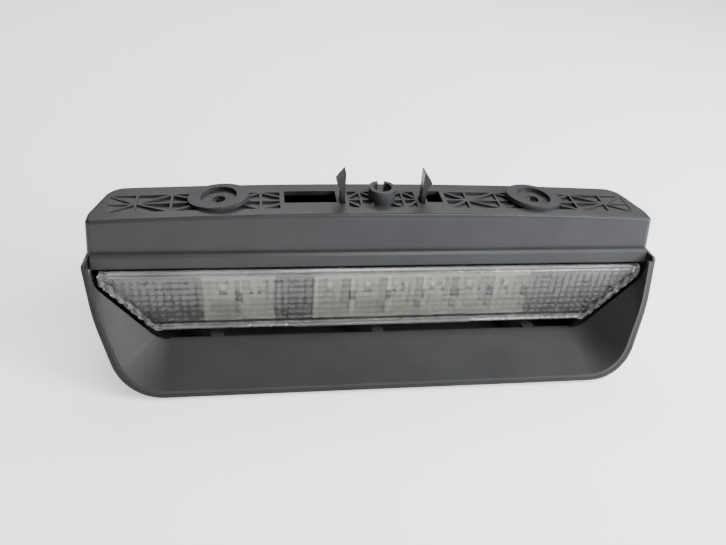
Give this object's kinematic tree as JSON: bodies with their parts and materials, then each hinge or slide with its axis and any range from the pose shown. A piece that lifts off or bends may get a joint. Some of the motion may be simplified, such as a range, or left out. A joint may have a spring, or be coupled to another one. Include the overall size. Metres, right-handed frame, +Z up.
{
  "type": "third brake light",
  "caption": "Hooded high-mounted brake light for the top of a rear window: ribbed mounting cover, scoop-shaped hood and a clear lens over a row of light-emitting diodes",
  "frame": {"origin": "on the axis of the centre boss's threaded insert, level with the middle of the crowned top face", "axes": "+X along the lamp to the right as seen from the lens side, +Y from the window glass into the cabin, +Z up to the roof"},
  "size_m": [0.3084, 0.0836, 0.1002],
  "materials": {
    "cover_plastic": "dark grey fine-grain moulded polypropylene",
    "housing_plastic": "black moulded plastic",
    "clear_lens": "clear acrylic with pillow optics",
    "bright_coating": "vacuum-metallised plastic",
    "brass": "knurled brass",
    "plated_steel": "zinc-plated steel",
    "black_steel": "black-coated steel",
    "board_laminate": "green solder mask on laminate",
    "diode_resin": "clear resin domes on pale packages",
    "component_black": "black moulded component bodies",
    "capacitor_ceramic": "tan ceramic",
    "socket_plastic": "black connector plastic",
    "tinned_metal": "tinned copper alloy"
  },
  "bodies": {
    "lamp": {"upper_cover": "cover_plastic", "hood": "cover_plastic", "rear_cover": "cover_plastic", "boss_insert": "brass", "pad_nuts": "plated_steel", "lens": "clear_lens", "lamp_housing": "housing_plastic", "reflector": "bright_coating", "circuit_board": "board_laminate", "light_diodes": "diode_resin", "resistors": "component_black", "blocking_diode": "component_black", "surge_suppressor": "component_black", "filter_capacitors": "capacitor_ceramic", "driver_transistors": "component_black", "harness_socket": "socket_plastic", "socket_terminals": "tinned_metal", "housing_screws": "plated_steel", "hood_screws": "plated_steel", "rear_cover_screws": "black_steel", "board_screws": "plated_steel"},
    "left_hook": {"left_snap_hook": "cover_plastic"},
    "right_hook": {"right_snap_hook": "cover_plastic"}
  },
  "joints": [
    {"name": "left_hook_flex", "type": "hinge", "parent": "lamp", "child": "left_hook", "pos_m": [-0.022, -0.0028, -0.002], "axis": [0, 1, 0], "range_deg": [0, 10], "stiffness_Nm_per_rad": 2},
    {"name": "right_hook_flex", "type": "hinge", "parent": "lamp", "child": "right_hook", "pos_m": [0.022, -0.0028, -0.002], "axis": [0, -1, 0], "range_deg": [0, 10], "stiffness_Nm_per_rad": 2}
  ]
}
